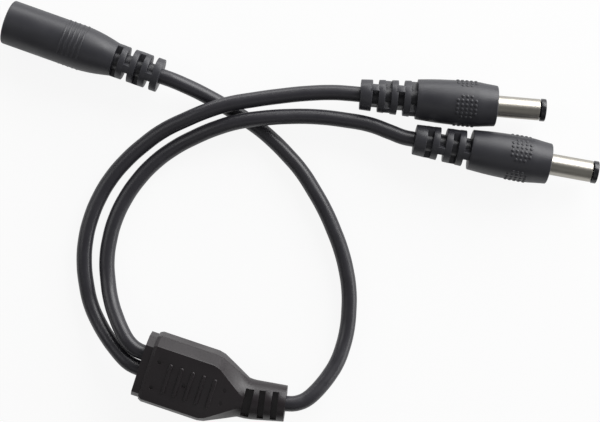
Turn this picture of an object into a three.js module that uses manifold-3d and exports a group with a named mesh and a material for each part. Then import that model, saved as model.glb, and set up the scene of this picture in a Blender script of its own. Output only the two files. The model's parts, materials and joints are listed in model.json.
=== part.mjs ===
// Y splitter cable for low-voltage power: one inline barrel jack feeds two barrel plugs through a moulded junction.
// Millimetres, +Z up. The cable lies on the plane z = 0, with the origin under the middle of its mouldings.
// Each moulding is modelled along +X from the face where its cord enters, then rolled, turned and set in place.
import * as THREE from 'three';
import { mergeVertices } from 'three/addons/utils/BufferGeometryUtils.js';
import Module from 'manifold-3d';

const wasm = await Module();
wasm.setup();

// Clearances and fineness of round shapes
const seatGap = 0.3;
const overcut = 1;
const roundFacets = 32;
const boreFacets = 16;
const cordSides = 10;
const coreSides = 6;

// Cords and the two insulated cores inside each of them
const cordDiameter = 4;
const cordStep = 5;
const coreStep = 1.5;
const coreDiameter = 1.2;
const coreRadius = coreDiameter / 2;
const coreOffset = coreRadius + seatGap / 2;
const coreBoreRadius = coreOffset + coreRadius + seatGap;

// Segmented strain relief of the jack and the plugs
const reliefNeckRadius = 2.5;
const reliefWebThickness = 2.4;
const reliefWebRecess = 0.5;
const reliefGapCount = 4;
const reliefWebAngle = Math.PI / 4;

// Inline jack
const jackEndRing = 2.2;
const jackRingWidth = 1.9;
const jackGapWidth = 1.6;
const jackReliefRadius = 4.35;
const jackBodyLength = 27.3;
const jackShoulderLength = 8;
const jackRadius = 5.75;
const jackEdge = 0.5;
const jackRidgeCount = 5;
const jackRidgePitch = 1.1;
const jackRidgeWidth = 0.5;
const jackRidgeHeight = 0.2;
const jackRidgeStart = 14.6;
const jackRidgeHalfAngle = 0.8;
const jackSocketRadius = 3.05;
const jackSocketDepth = 10;
const jackHousingRadius = 4.3;
const jackHousingFloor = 5;
const jackPinRadius = 1;
const jackPinRecess = 1.2;
const jackPinFlangeRadius = 1.6;
const jackPinFlangeThickness = 0.6;
const jackTailRadius = 0.6;
const jackTailLength = 2.5;
const jackSpringWidth = 2;
const jackSpringThickness = 0.3;
const jackSpringBow = 0.6;
const jackSpringTail = 3;
const jackSpringFrontWall = 1.4;
const jackChamberLength = 7;

// Plugs
const plugEndRing = 3;
const plugRingWidth = 1.7;
const plugGapWidth = 1.6;
const plugReliefEndRadius = 3.9;
const plugReliefBodyRadius = 4.75;
const plugBodyLength = 20.6;
const plugBodyStartRadius = 5.15;
const plugRadius = 5.75;
const plugFrontRadius = 5.2;
const plugFrontEdge = 0.6;
const plugGripCentre = 12.5;
const dotPitch = 1.15;
const dotColumns = 5;
const dotRows = 6;
const dotPatches = 2;
const dotRadius = 0.42;
const dotHeight = 0.25;
const barrelRadius = 2.75;
const barrelWall = 0.35;
const barrelReach = 11;
const barrelEmbed = 8;
const barrelFlangeRadius = 3.7;
const barrelFlangeThickness = 0.8;
const barrelEdge = 0.2;
const tagLength = 4.5;
const tagWidth = 2.2;
const tagThickness = 0.35;
const tipRingLength = 1.3;
const tipRingRadius = 2.9;
const tipEdge = 0.45;
const tipHoleRadius = 1.3;
const tipWall = 1.6;
const insulatorWall = 0.45;
const contactWall = 0.3;
const contactTailRadius = 0.6;
const contactTailLength = 3.4;
const contactSlotWidth = 0.4;
const contactSlotLength = 6;
const plugChamberRadius = 3.3;
const plugChamberLength = 8;

// Junction block: an eight-sided block with a collar, a taper and a curved, slotted strain relief
const blockLength = 19;
const blockHalfWidth = 9.15;
const blockHalfHeight = 5.75;
const blockFlatHalfWidth = 7.3;
const blockBandHalfHeight = 2.2;
const collarLength = 2;
const collarInset = 0.9;
const taperLength = 8.6;
const taperEndRadius = 5.25;
const reliefEndRadius = 4.65;
const reliefEndLength = 10.9;
const reliefBendLength = 3;
const reliefBendAngle = THREE.MathUtils.degToRad(12);
const slotWidths = [2.2, 1.4, 1.4];
const slotStart = 0.3;
const slotRibWidth = 1.85;
const slotHalfSpan = 3.7;
const barCount = 5;
const barPitch = 2.95;
const barLength = 8.1;
const barWidth = 1.1;
const barHeight = 0.4;
const barStart = 7.7;
const pinMarkRadius = 0.45;
const pinMarkDepth = 0.4;
const pinMarkSpread = 3.5;
const pinMarkInset = 4.6;
const branchSpacing = cordDiameter + seatGap;
const branchOffset = 0.6;
const blockEndWall = 2.6;
const splayLength = 3.6;
const innerMouldLength = 10.4;
const innerMouldHalfWidth = 4.4;
const innerMouldWall = 0.5;
const channelRadius = coreBoreRadius;
const channelWeb = 0.6;
const spliceLength = 6;
const spliceWaist = 0.25;

// Where each moulding lies: its cord face, heading and roll, the last two in degrees
const jackPlace = { x: -35.8, y: 34.7, heading: 160.4, roll: 20 };
const plugPlaces = {
  plug_a: { x: 15.45, y: 29.95, heading: -4.9, roll: 14 },
  plug_b: { x: 29.4, y: 18.4, heading: -10.3, roll: -20 },
};
const junctionPlace = { x: -40.6, y: -38.9, heading: -18.6, roll: 11 };

// Cord routes, chosen by hand as the cable lies
const routes = {
  trunk_cord: [
    [-35.45, 34.57, 5.95], [-32.8, 33.63, 5.85], [-29.6, 32.3, 5.2], [-26.9, 31.1, 4.3], [-24.1, 29.7, 3.3],
    [-20.4, 27.7, 2.4], [-15.6, 24.8, 2.1], [-11, 21.7, 2.1], [-7.4, 18.7, 2.1], [-3.4, 14.7, 2.1],
    [0.3, 10.4, 2.1], [3.6, 5.3, 2.1], [6.5, 0.1, 2.1], [8.8, -5.1, 2.1], [10.7, -10.3, 2.1],
    [12, -15.5, 2.1], [12.7, -20.6, 2.1], [12.7, -25.7, 2.1], [12.2, -30.7, 2.2], [11.1, -35.2, 2.8],
    [9.5, -39.2, 3.9], [7.6, -42.2, 4.9], [5.5, -44.8, 5.9], [3.6, -46.75, 6.6], [2.35, -47.8, 6.9],
    [1.05, -48.6, 7.1], [-0.35, -49.1, 7.3], [-1.8, -49.35, 7.4], [-3.2, -49.33, 7.4],
  ],
  branch_a_cord: [
    [-41.49, -40.21, 6.74], [-42.87, -39.6, 6.68], [-44.15, -38.8, 6.45], [-45.5, -37.6, 6], [-47.5, -35.4, 5.2],
    [-49.4, -33, 4.4], [-52, -29, 3.1], [-54.2, -24.3, 2.25], [-55.4, -19.2, 2.1], [-56, -13.2, 2.1], [-55.6, -7.4, 2.1],
    [-54.3, -2, 2.1], [-52.1, 3.4, 2.1], [-49.1, 8.4, 2.1], [-45.2, 13, 2.2], [-40.7, 17, 2.7],
    [-35.4, 20.7, 3.9], [-29.2, 23.6, 5.5], [-23.9, 25.7, 6.6], [-18.7, 27.3, 6.9], [-11.5, 28.6, 6.6],
    [-5.1, 29.5, 6.2], [1.5, 30.2, 5.9], [8.5, 30.45, 5.9], [12.5, 30.22, 6], [15.08, 29.98, 6],
  ],
  branch_b_cord: [
    [-40.16, -36.2, 7.56], [-41.42, -35.64, 7.6], [-42.6, -34.85, 7.6], [-43.6, -33.9, 7.5], [-44.5, -32.75, 7.3],
    [-45.8, -30.5, 6.7], [-47, -28, 5.8], [-48.8, -23.2, 3.9], [-49.8, -17.9, 2.5], [-50.1, -12.7, 2.1],
    [-49.4, -7.4, 2.1], [-47.9, -2.1, 2.1], [-45.3, 3.3, 2.1], [-42.2, 7.8, 2.1], [-38.1, 12.2, 2.2],
    [-32.9, 16.1, 2.8], [-27.1, 19.1, 4.2], [-20.7, 21.6, 5.8], [-15.4, 23, 6.5], [-9.8, 23.8, 6.5],
    [-2.6, 24.3, 6], [4.6, 24.2, 5.7], [11.6, 23.4, 5.6], [18, 22.2, 5.7], [23.4, 20.2, 5.9],
    [26.6, 18.97, 6], [29.04, 18.46, 6],
  ],
};

// Finishes
const finishes = {
  mould: { color: 0x3b3b3f, roughness: 0.55, metalness: 0 },
  junctionMould: { color: 0x2f2d31, roughness: 0.5, metalness: 0 },
  cord: { color: 0x35343a, roughness: 0.45, metalness: 0 },
  housing: { color: 0x17171a, roughness: 0.4, metalness: 0 },
  innerMould: { color: 0xc9c7bd, roughness: 0.6, metalness: 0 },
  nickel: { color: 0xb9b6ad, roughness: 0.25, metalness: 1 },
  brass: { color: 0xb58b3f, roughness: 0.35, metalness: 1 },
  redCore: { color: 0xa82020, roughness: 0.5, metalness: 0 },
  blackCore: { color: 0x1c1c1e, roughness: 0.5, metalness: 0 },
};

// Turns a three.js geometry into a solid for cutting and joining, with its faces pointing out
function solid(geometry) {
  const bare = geometry.clone();
  bare.deleteAttribute('normal');
  bare.deleteAttribute('uv');
  const merged = mergeVertices(bare, 1e-4);
  const corners = Array.from(merged.index.array);
  const triangles = [];
  for (let i = 0; i < corners.length; i += 3) {
    const [a, b, c] = corners.slice(i, i + 3);
    if (a !== b && b !== c && c !== a) triangles.push([a, b, c]);
  }
  const build = (list) => new wasm.Manifold(new wasm.Mesh({
    numProp: 3,
    vertProperties: new Float32Array(merged.attributes.position.array),
    triVerts: new Uint32Array(list.flat()),
  }));
  const made = build(triangles);
  return made.volume() > 0 ? made : build(triangles.map(([a, b, c]) => [a, c, b]));
}

// Turns a solid back into geometry
function geometryOf(made) {
  const mesh = made.getMesh();
  const geometry = new THREE.BufferGeometry();
  geometry.setAttribute('position', new THREE.BufferAttribute(new Float32Array(mesh.vertProperties), 3));
  geometry.setIndex(new THREE.BufferAttribute(new Uint32Array(mesh.triVerts), 1));
  geometry.computeVertexNormals();
  return geometry;
}

const joined = (solids) => solids.reduce((sum, next) => sum.add(next));

const cut = (base, cutters) => base.subtract(joined(cutters));

// Solid of revolution about X from a profile of [x, radius] pairs, on the axis at both ends or closed on itself
function turned(profile, facets = roundFacets) {
  const points = profile.map(([x, radius]) => new THREE.Vector2(radius, x));
  return solid(new THREE.LatheGeometry(points, facets).rotateZ(-Math.PI / 2));
}

const ring = (x0, x1, inner, outer, facets) => turned(
  [[x0, inner], [x0, outer], [x1, outer], [x1, inner], [x0, inner]],
  facets,
);

const rod = (x0, x1, radius, facets = boreFacets) => turned([[x0, 0], [x0, radius], [x1, radius], [x1, 0]], facets);

// Box between two corners
function box(low, high) {
  const size = high.map((value, axis) => value - low[axis]);
  const middle = high.map((value, axis) => (value + low[axis]) / 2);
  return solid(new THREE.BoxGeometry(...size).translate(...middle));
}

// Closed solid through rings of equal point counts, with flat ends
function loft(rings) {
  const count = rings[0].length;
  const index = [];
  for (let r = 0; r + 1 < rings.length; r += 1) {
    for (let i = 0; i < count; i += 1) {
      const a = r * count + i;
      const b = r * count + (i + 1) % count;
      index.push(a, b, a + count, b, b + count, a + count);
    }
  }
  const last = (rings.length - 1) * count;
  for (let i = 1; i + 1 < count; i += 1) {
    index.push(0, i + 1, i, last, last + i, last + i + 1);
  }
  const geometry = new THREE.BufferGeometry();
  const positions = rings.flat().flatMap((point) => point.toArray());
  geometry.setAttribute('position', new THREE.Float32BufferAttribute(positions, 3));
  geometry.setIndex(index);
  return solid(geometry);
}

// Round rod swept along a smooth line through points
function sweptTube(points, radius, sides, step) {
  const path = new THREE.CatmullRomCurve3(points, false, 'centripetal');
  const section = new THREE.Shape();
  for (let i = 0; i < sides; i += 1) {
    const angle = (i / sides) * 2 * Math.PI;
    const x = radius * Math.cos(angle);
    const y = radius * Math.sin(angle);
    if (i === 0) section.moveTo(x, y);
    else section.lineTo(x, y);
  }
  section.closePath();
  const steps = Math.ceil(path.getLength() / step);
  return solid(new THREE.ExtrudeGeometry(section, { steps, extrudePath: path }));
}

function piece(name, made, finish) {
  const mesh = new THREE.Mesh(geometryOf(made), new THREE.MeshStandardMaterial({ ...finish, flatShading: true }));
  mesh.name = name;
  return mesh;
}

// Holds the pieces of one moulding, rolled about its own axis, turned to its heading and raised to its height
function placed(place, height, pieces) {
  const group = new THREE.Group();
  group.rotation.order = 'ZYX';
  group.rotation.z = THREE.MathUtils.degToRad(place.heading);
  group.rotation.x = THREE.MathUtils.degToRad(place.roll);
  group.position.set(place.x, place.y, height);
  group.add(...pieces);
  return group;
}

const reliefLength = (endRing, ringWidth, gapWidth) =>
  endRing + reliefGapCount * gapWidth + (reliefGapCount - 1) * ringWidth;

// Windows between the rings of a strain relief, each with two webs that turn a quarter from gap to gap
function reliefWindows(endRing, ringWidth, gapWidth, radiusAt) {
  const reach = plugRadius + jackRadius;
  const windows = [];
  for (let i = 0; i < reliefGapCount; i += 1) {
    const x0 = endRing + i * (gapWidth + ringWidth);
    const x1 = x0 + gapWidth;
    const half = reliefWebThickness / 2;
    const angle = -reliefWebAngle + i * Math.PI / 2;
    const web = solid(new THREE.BoxGeometry(gapWidth + 2 * overcut, 2 * half, 2 * reach + 2 * overcut)
      .rotateX(angle)
      .translate((x0 + x1) / 2, 0, 0));
    windows.push(ring(x0, x1, reliefNeckRadius, reach).subtract(web));
    windows.push(ring(x0, x1, radiusAt((x0 + x1) / 2) - reliefWebRecess, reach));
  }
  return windows;
}

// Insulated core through a list of points
const core = (name, finish, points) => piece(
  name,
  sweptTube(points.map((point) => new THREE.Vector3(...point)), coreRadius, coreSides, coreStep),
  finish,
);

// Two cores from the cord face: the red one runs on to the centre tail, the black one drops onto the outer tail
function leadCores(name, chamberStart, redEnd, blackEnd, blackHeight) {
  const straightEnd = chamberStart - coreDiameter;
  const dropEnd = chamberStart + 2.5 * coreDiameter;
  return [
    core(`${name}_red_core`, finishes.redCore, [
      [0, coreOffset, 0],
      [chamberStart, coreOffset, 0],
      [redEnd - 2 * coreDiameter, coreOffset, 0],
      [redEnd - coreDiameter / 2, 0, 0],
      [redEnd, 0, 0],
    ]),
    core(`${name}_black_core`, finishes.blackCore, [
      [0, -coreOffset, 0],
      [straightEnd, -coreOffset, 0],
      [chamberStart, -coreOffset, 0],
      [dropEnd, -coreOffset, blackHeight],
      [blackEnd, -coreOffset, blackHeight],
    ]),
  ];
}

// Inline jack
const jackReliefLength = reliefLength(jackEndRing, jackRingWidth, jackGapWidth);
const jackFront = jackReliefLength + jackBodyLength;
const jackSocketFloor = jackFront - jackSocketDepth;
const jackHousingRear = jackSocketFloor - jackHousingFloor;
const jackHousingSeat = jackHousingRear - seatGap;
const jackChamberStart = jackHousingSeat - jackChamberLength;
const jackHousingBoreRadius = jackHousingRadius + seatGap;
const jackChannelHalfWidth = jackSpringWidth / 2 + seatGap;
const jackSpringTop = -jackSocketRadius;
const jackSpringBase = jackSpringTop - jackSpringThickness;
const jackAxisHeight = jackRadius + jackRidgeHeight;

function jackOvermould() {
  const shoulder = [0, 0.25, 0.5, 0.75, 1].map((share) => [
    jackReliefLength + share * jackShoulderLength,
    jackReliefRadius + (jackRadius - jackReliefRadius) * Math.sin(share * Math.PI / 2),
  ]);
  const outer = turned([
    [0, 0],
    [0, jackReliefRadius],
    ...shoulder,
    [jackFront - jackEdge, jackRadius],
    [jackFront, jackRadius - jackEdge],
    [jackFront, 0],
  ]);
  const ridges = [];
  const firstRidge = jackFront - jackRidgeStart - jackRidgeWidth / 2;
  for (let i = 0; i < jackRidgeCount; i += 1) {
    const x = firstRidge - i * jackRidgePitch;
    ridges.push(ridgePair(x));
  }
  const chamberRadius = Math.hypot(jackSpringBase, jackSpringWidth / 2) + seatGap;
  const hollow = turned([
    [-overcut, 0],
    [-overcut, coreBoreRadius],
    [jackChamberStart, coreBoreRadius],
    [jackChamberStart + chamberRadius - coreBoreRadius, chamberRadius],
    [jackHousingSeat, chamberRadius],
    [jackHousingSeat, jackHousingBoreRadius],
    [jackFront + overcut, jackHousingBoreRadius],
    [jackFront + overcut, 0],
  ]);
  const windows = reliefWindows(jackEndRing, jackRingWidth, jackGapWidth, () => jackReliefRadius);
  return cut(joined([outer, ...ridges]), [...windows, hollow]);
}

// One grip ridge on the upper side and one on the lower side, each an arc of a ring
function ridgePair(x) {
  const whole = ring(
    x - jackRidgeWidth / 2,
    x + jackRidgeWidth / 2,
    jackRadius - jackRidgeHeight,
    jackRadius + jackRidgeHeight,
  );
  const reach = 2 * jackRadius;
  const wedge = new THREE.Shape();
  wedge.moveTo(0, 0);
  wedge.lineTo(reach * Math.sin(jackRidgeHalfAngle), reach * Math.cos(jackRidgeHalfAngle));
  wedge.lineTo(-reach * Math.sin(jackRidgeHalfAngle), reach * Math.cos(jackRidgeHalfAngle));
  wedge.closePath();
  const depth = jackRidgeWidth + 2 * overcut;
  const upper = new THREE.ExtrudeGeometry(wedge, { depth, bevelEnabled: false })
    .rotateX(Math.PI / 2)
    .rotateZ(Math.PI / 2)
    .translate(x - depth / 2, 0, 0);
  return whole.intersect(solid(upper).add(solid(upper.clone().rotateX(Math.PI))));
}

function jackPieces() {
  const housing = turned([
    [jackHousingRear, jackTailRadius + seatGap],
    [jackHousingRear, jackHousingRadius],
    [jackFront, jackHousingRadius],
    [jackFront, jackSocketRadius],
    [jackSocketFloor, jackSocketRadius],
    [jackSocketFloor, jackTailRadius + seatGap],
    [jackHousingRear, jackTailRadius + seatGap],
  ]);
  const channelRoof = jackSpringTop + jackSpringBow + seatGap;
  const channel = box(
    [jackHousingRear - overcut, -jackChannelHalfWidth, jackSpringBase - seatGap],
    [jackFront - jackSpringFrontWall, jackChannelHalfWidth, channelRoof],
  );
  const pin = turned([
    [jackHousingRear - jackTailLength, 0],
    [jackHousingRear - jackTailLength, jackTailRadius],
    [jackSocketFloor + seatGap, jackTailRadius],
    [jackSocketFloor + seatGap, jackPinFlangeRadius],
    [jackSocketFloor + seatGap + jackPinFlangeThickness, jackPinFlangeRadius],
    [jackSocketFloor + seatGap + jackPinFlangeThickness, jackPinRadius],
    [jackFront - jackPinRecess - jackPinRadius / 2, jackPinRadius],
    [jackFront - jackPinRecess, jackPinRadius / 2],
    [jackFront - jackPinRecess, 0],
  ], boreFacets);
  const redEnd = jackHousingRear - jackTailLength - seatGap;
  const blackEnd = jackHousingSeat - coreRadius;
  const springRest = jackSpringTop + seatGap + coreRadius;
  return [
    piece('jack_overmould', jackOvermould(), finishes.mould),
    piece('jack_housing', housing.subtract(channel), finishes.housing),
    piece('jack_centre_pin', pin, finishes.nickel),
    piece('jack_sleeve_spring', jackSpring(), finishes.nickel),
    ...leadCores('jack', jackChamberStart, redEnd, blackEnd, springRest),
  ];
}

// Leaf spring that lies in its channel, bows up into the socket and ends in a solder tail behind the housing
function jackSpring() {
  const tail = jackHousingRear - jackSpringTail;
  const bowStart = jackSocketFloor + jackSpringThickness;
  const bowEnd = jackFront - jackSpringFrontWall - seatGap;
  const bowMiddle = (bowStart + bowEnd) / 2;
  const outline = new THREE.Shape();
  outline.moveTo(tail, jackSpringBase);
  outline.lineTo(bowStart, jackSpringBase);
  outline.quadraticCurveTo(bowMiddle, jackSpringBase + 2 * jackSpringBow, bowEnd, jackSpringBase);
  outline.lineTo(bowEnd, jackSpringTop);
  outline.quadraticCurveTo(bowMiddle, jackSpringTop + 2 * jackSpringBow, bowStart, jackSpringTop);
  outline.lineTo(tail, jackSpringTop);
  outline.closePath();
  const strip = new THREE.ExtrudeGeometry(outline, { depth: jackSpringWidth, bevelEnabled: false, curveSegments: 10 })
    .rotateX(Math.PI / 2)
    .translate(0, jackSpringWidth / 2, 0);
  return solid(strip);
}

// Plugs
const plugReliefLength = reliefLength(plugEndRing, plugRingWidth, plugGapWidth);
const plugFront = plugReliefLength + plugBodyLength;
const plugAxisHeight = plugRadius + dotHeight;
const barrelBoreRadius = barrelRadius - barrelWall;
const barrelRear = plugFront - barrelEmbed;
const barrelFront = plugFront + barrelReach;
const flangeSeat = barrelRear - seatGap;
const plugChamberStart = flangeSeat - plugChamberLength;
const insulatorRadius = barrelBoreRadius - seatGap;
const insulatorBoreRadius = insulatorRadius - insulatorWall;
const tipFront = barrelFront + seatGap + tipRingLength;
const contactRadius = insulatorBoreRadius - seatGap;
const contactBoreRadius = contactRadius - contactWall;
const dotRowAngle = 2 * Math.PI / roundFacets;

function plugOvermould() {
  const gripHalf = dotColumns * dotPitch / 2;
  const gripMiddle = plugReliefLength + plugGripCentre;
  const swellStart = (plugReliefLength + gripMiddle - gripHalf) / 2;
  const swellRadius = (plugBodyStartRadius + 2 * plugRadius) / 3;
  const shoulderRadius = (plugFrontRadius + plugRadius) / 2;
  const outer = turned([
    [0, 0],
    [0, plugReliefEndRadius],
    [plugReliefLength, plugReliefBodyRadius],
    [plugReliefLength, plugBodyStartRadius],
    [swellStart, swellRadius],
    [gripMiddle - gripHalf, plugRadius],
    [gripMiddle + gripHalf, plugRadius],
    [(gripMiddle + gripHalf + plugFront) / 2, shoulderRadius],
    [plugFront - plugFrontEdge, plugFrontRadius],
    [plugFront, plugFrontRadius - plugFrontEdge],
    [plugFront, 0],
  ]);
  const flangeSeatEnd = barrelRear + barrelFlangeThickness + seatGap;
  const hollow = turned([
    [-overcut, 0],
    [-overcut, coreBoreRadius],
    [plugChamberStart, coreBoreRadius],
    [plugChamberStart + plugChamberRadius - coreBoreRadius, plugChamberRadius],
    [flangeSeat, plugChamberRadius],
    [flangeSeat, barrelFlangeRadius + seatGap],
    [flangeSeatEnd, barrelFlangeRadius + seatGap],
    [flangeSeatEnd, barrelRadius + seatGap],
    [plugFront + overcut, barrelRadius + seatGap],
    [plugFront + overcut, 0],
  ]);
  const radiusAt = (x) => THREE.MathUtils.mapLinear(
    x,
    0,
    plugReliefLength,
    plugReliefEndRadius,
    plugReliefBodyRadius,
  );
  const windows = reliefWindows(plugEndRing, plugRingWidth, plugGapWidth, radiusAt);
  return cut(joined([outer, gripDots(gripMiddle)]), [...windows, hollow]);
}

// Patches of small raised dots, a patch on each side of the plug, with a corner dot left off at each corner
function gripDots(middle) {
  const seat = plugRadius * Math.cos(dotRowAngle / 2);
  const dots = [];
  for (let patch = 0; patch < dotPatches; patch += 1) {
    for (let row = 0; row < dotRows; row += 1) {
      for (let column = 0; column < dotColumns; column += 1) {
        const edgeRow = row === 0 || row === dotRows - 1;
        const edgeColumn = column === 0 || column === dotColumns - 1;
        if (edgeRow && edgeColumn) continue;
        const x = middle + (column - (dotColumns - 1) / 2) * dotPitch;
        const angle = patch * 2 * Math.PI / dotPatches + (row - (dotRows - 1) / 2) * dotRowAngle;
        const sunk = dotHeight / 2;
        const dot = new THREE.ConeGeometry(dotRadius, dotHeight + sunk, 4)
          .rotateX(Math.PI / 2)
          .translate(x, 0, seat + (dotHeight - sunk) / 2)
          .rotateX(angle);
        dots.push(solid(dot));
      }
    }
  }
  return joined(dots);
}

function barrel() {
  const tube = turned([
    [barrelRear, barrelBoreRadius],
    [barrelRear, barrelFlangeRadius],
    [barrelRear + barrelFlangeThickness, barrelFlangeRadius],
    [barrelRear + barrelFlangeThickness, barrelRadius],
    [barrelFront - barrelEdge, barrelRadius],
    [barrelFront, barrelRadius - barrelEdge],
    [barrelFront, barrelBoreRadius],
    [barrelRear, barrelBoreRadius],
  ]);
  const tag = box(
    [barrelRear - tagLength, -tagWidth / 2, -barrelRadius],
    [barrelRear + barrelFlangeThickness / 2, tagWidth / 2, -barrelRadius + tagThickness],
  );
  return tube.add(tag);
}

function insulator() {
  const rear = flangeSeat;
  const pocketStart = rear + tipWall;
  const pocketEnd = tipFront - tipWall;
  const hole = contactTailRadius + seatGap;
  return turned([
    [rear, hole],
    [rear, insulatorRadius],
    [barrelFront + seatGap, insulatorRadius],
    [barrelFront + seatGap, tipRingRadius],
    [tipFront - tipEdge, tipRingRadius],
    [tipFront, tipRingRadius - tipEdge],
    [tipFront, tipHoleRadius],
    [pocketEnd, tipHoleRadius],
    [pocketEnd, insulatorBoreRadius],
    [pocketStart, insulatorBoreRadius],
    [pocketStart, hole],
    [rear, hole],
  ], boreFacets);
}

// Tube that grips the mating pin: open and slotted into four fingers at the tip, with a solid tail behind
function contact() {
  const rear = flangeSeat + tipWall + seatGap;
  const front = tipFront - tipWall - seatGap;
  const tube = turned([
    [barrelRear - contactTailLength, 0],
    [barrelRear - contactTailLength, contactTailRadius],
    [rear, contactTailRadius],
    [rear, contactRadius],
    [front, contactRadius],
    [front, contactBoreRadius],
    [rear + contactWall, contactBoreRadius],
    [rear + contactWall, 0],
  ], boreFacets);
  const half = contactSlotWidth / 2;
  const slots = [
    box([front - contactSlotLength, -half, -barrelRadius], [front + overcut, half, barrelRadius]),
    box([front - contactSlotLength, -barrelRadius, -half], [front + overcut, barrelRadius, half]),
  ];
  return cut(tube, slots);
}

function plugPieces(name) {
  const redEnd = barrelRear - contactTailLength - seatGap;
  const blackEnd = barrelRear - coreDiameter;
  const tagRest = -barrelRadius + tagThickness + seatGap + coreRadius;
  return [
    piece(`${name}_overmould`, plugOvermould(), finishes.mould),
    piece(`${name}_barrel`, barrel(), finishes.nickel),
    piece(`${name}_insulator`, insulator(), finishes.housing),
    piece(`${name}_contact`, contact(), finishes.brass),
    ...leadCores(name, plugChamberStart, redEnd, blackEnd, tagRest),
  ];
}

// Junction
const blockEnd = blockLength + taperLength;
const pocketEnd = blockEndWall + 2 * splayLength + innerMouldLength;
const innerMouldStart = blockEndWall + splayLength;
const channelHeight = channelRadius + channelWeb / 2;
const innerMouldHalfHeight = channelHeight + channelRadius + innerMouldWall;
const spliceStart = innerMouldStart + (innerMouldLength - spliceLength) / 2;
const junctionRoll = THREE.MathUtils.degToRad(junctionPlace.roll);
const junctionAxisHeight =
  blockHalfHeight * Math.cos(junctionRoll) + blockFlatHalfWidth * Math.sin(junctionRoll);

// Moves points given about the block's axis to a distance past the block's end, along the bent strain relief
function alongRelief(distance, points) {
  const bent = THREE.MathUtils.clamp(distance, 0, reliefBendLength);
  const straight = distance - bent;
  const radius = reliefBendLength / reliefBendAngle;
  const angle = bent / radius;
  const x = blockEnd + radius * Math.sin(angle) + straight * Math.cos(angle);
  const y = radius * (1 - Math.cos(angle)) + straight * Math.sin(angle);
  return points.map(([side, up]) => new THREE.Vector3(x - side * Math.sin(angle), y + side * Math.cos(angle), up));
}

const circle = (radius, count) => Array.from({ length: count }, (_, i) => {
  const angle = (i / count) * 2 * Math.PI;
  return [radius * Math.cos(angle), radius * Math.sin(angle)];
});

// Round rod along the axis and the bent relief, from one distance past the block's end to another
function reliefRod(radius, from, to, facets) {
  const bends = [0, 0.5, 1].map((share) => share * reliefBendLength);
  const stations = [from, ...bends, to];
  return loft(stations.map((distance) => alongRelief(distance, circle(radius, facets))));
}

// Outline across the block: eight flat sides, drawn out to an ellipse as roundness goes from 0 to 1
function blockOutline({ halfWidth, halfHeight, flatHalfWidth, bandHalfHeight, roundness }) {
  const corners = [
    [halfWidth, -bandHalfHeight],
    [halfWidth, bandHalfHeight],
    [flatHalfWidth, halfHeight],
    [-flatHalfWidth, halfHeight],
    [-halfWidth, bandHalfHeight],
    [-halfWidth, -bandHalfHeight],
    [-flatHalfWidth, -halfHeight],
    [flatHalfWidth, -halfHeight],
  ];
  const chamferSteps = 6;
  const flatSteps = 2;
  return corners.flatMap(([y0, z0], i) => {
    const [y1, z1] = corners[(i + 1) % corners.length];
    const steps = i % 2 === 0 ? flatSteps : chamferSteps;
    return Array.from({ length: steps }, (_, step) => {
      const y = y0 + (y1 - y0) * step / steps;
      const z = z0 + (z1 - z0) * step / steps;
      const out = 1 / Math.hypot(y / halfWidth, z / halfHeight);
      const scale = 1 + (out - 1) * roundness;
      return [y * scale, z * scale];
    });
  });
}

const blockShape = {
  halfWidth: blockHalfWidth,
  halfHeight: blockHalfHeight,
  flatHalfWidth: blockFlatHalfWidth,
  bandHalfHeight: blockBandHalfHeight,
  roundness: 0,
};

function inset(shape, amount) {
  return {
    ...shape,
    halfWidth: shape.halfWidth - amount,
    halfHeight: shape.halfHeight - amount,
    flatHalfWidth: shape.flatHalfWidth - amount,
  };
}

// The block's outline part of the way along its taper, from the eight-sided block to the round relief
function taperShape(share) {
  const mix = (from, to) => from + (to - from) * share;
  return {
    halfWidth: mix(blockHalfWidth, taperEndRadius),
    halfHeight: mix(blockHalfHeight, taperEndRadius),
    flatHalfWidth: mix(blockFlatHalfWidth, taperEndRadius / 8),
    bandHalfHeight: mix(blockBandHalfHeight, taperEndRadius / 5),
    roundness: share ** 2,
  };
}

function junctionOvermould() {
  const edge = collarInset;
  const stations = [
    [collarLength, inset(blockShape, edge / 2)],
    [collarLength + edge, blockShape],
    [blockLength - edge, blockShape],
    ...[0.1, 0.3, 0.5, 0.7, 0.85, 1].map((share) => [blockLength + share * taperLength, taperShape(share)]),
  ];
  const rings = stations.map(([x, shape]) => alongRelief(x - blockEnd, blockOutline(shape)));
  const endShape = { ...taperShape(1), halfWidth: reliefEndRadius, halfHeight: reliefEndRadius };
  const middleRadius = THREE.MathUtils.lerp(taperEndRadius, reliefEndRadius, reliefBendLength / reliefEndLength);
  rings.push(alongRelief(reliefBendLength, blockOutline({
    ...endShape,
    halfWidth: middleRadius,
    halfHeight: middleRadius,
  })));
  rings.push(alongRelief(reliefEndLength, blockOutline(endShape)));
  const collar = loft([0, collarLength + edge / 2].map((x) => (
    alongRelief(x - blockEnd, blockOutline(inset(blockShape, collarInset)))
  )));
  const bodies = [loft(rings), collar];
  for (const side of [1, -1]) {
    for (let i = 0; i < barCount; i += 1) {
      bodies.push(gripBar(barStart + i * barPitch, side));
    }
  }
  return cut(joined(bodies), [...reliefSlots(), ...pinMarks(), ...junctionHollows()]);
}

// Raised bar with round ends, across the upper or lower flat
function gripBar(x, side) {
  const radius = barWidth / 2;
  const reach = barLength / 2 - radius;
  const outline = new THREE.Shape();
  outline.absarc(0, reach, radius, 0, Math.PI);
  outline.absarc(0, -reach, radius, Math.PI, 2 * Math.PI);
  outline.closePath();
  const sunk = barHeight;
  const bar = new THREE.ExtrudeGeometry(outline, { depth: barHeight + sunk, bevelEnabled: false, curveSegments: 4 })
    .translate(x, 0, blockHalfHeight - sunk);
  return solid(side > 0 ? bar : bar.rotateX(Math.PI));
}

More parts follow.
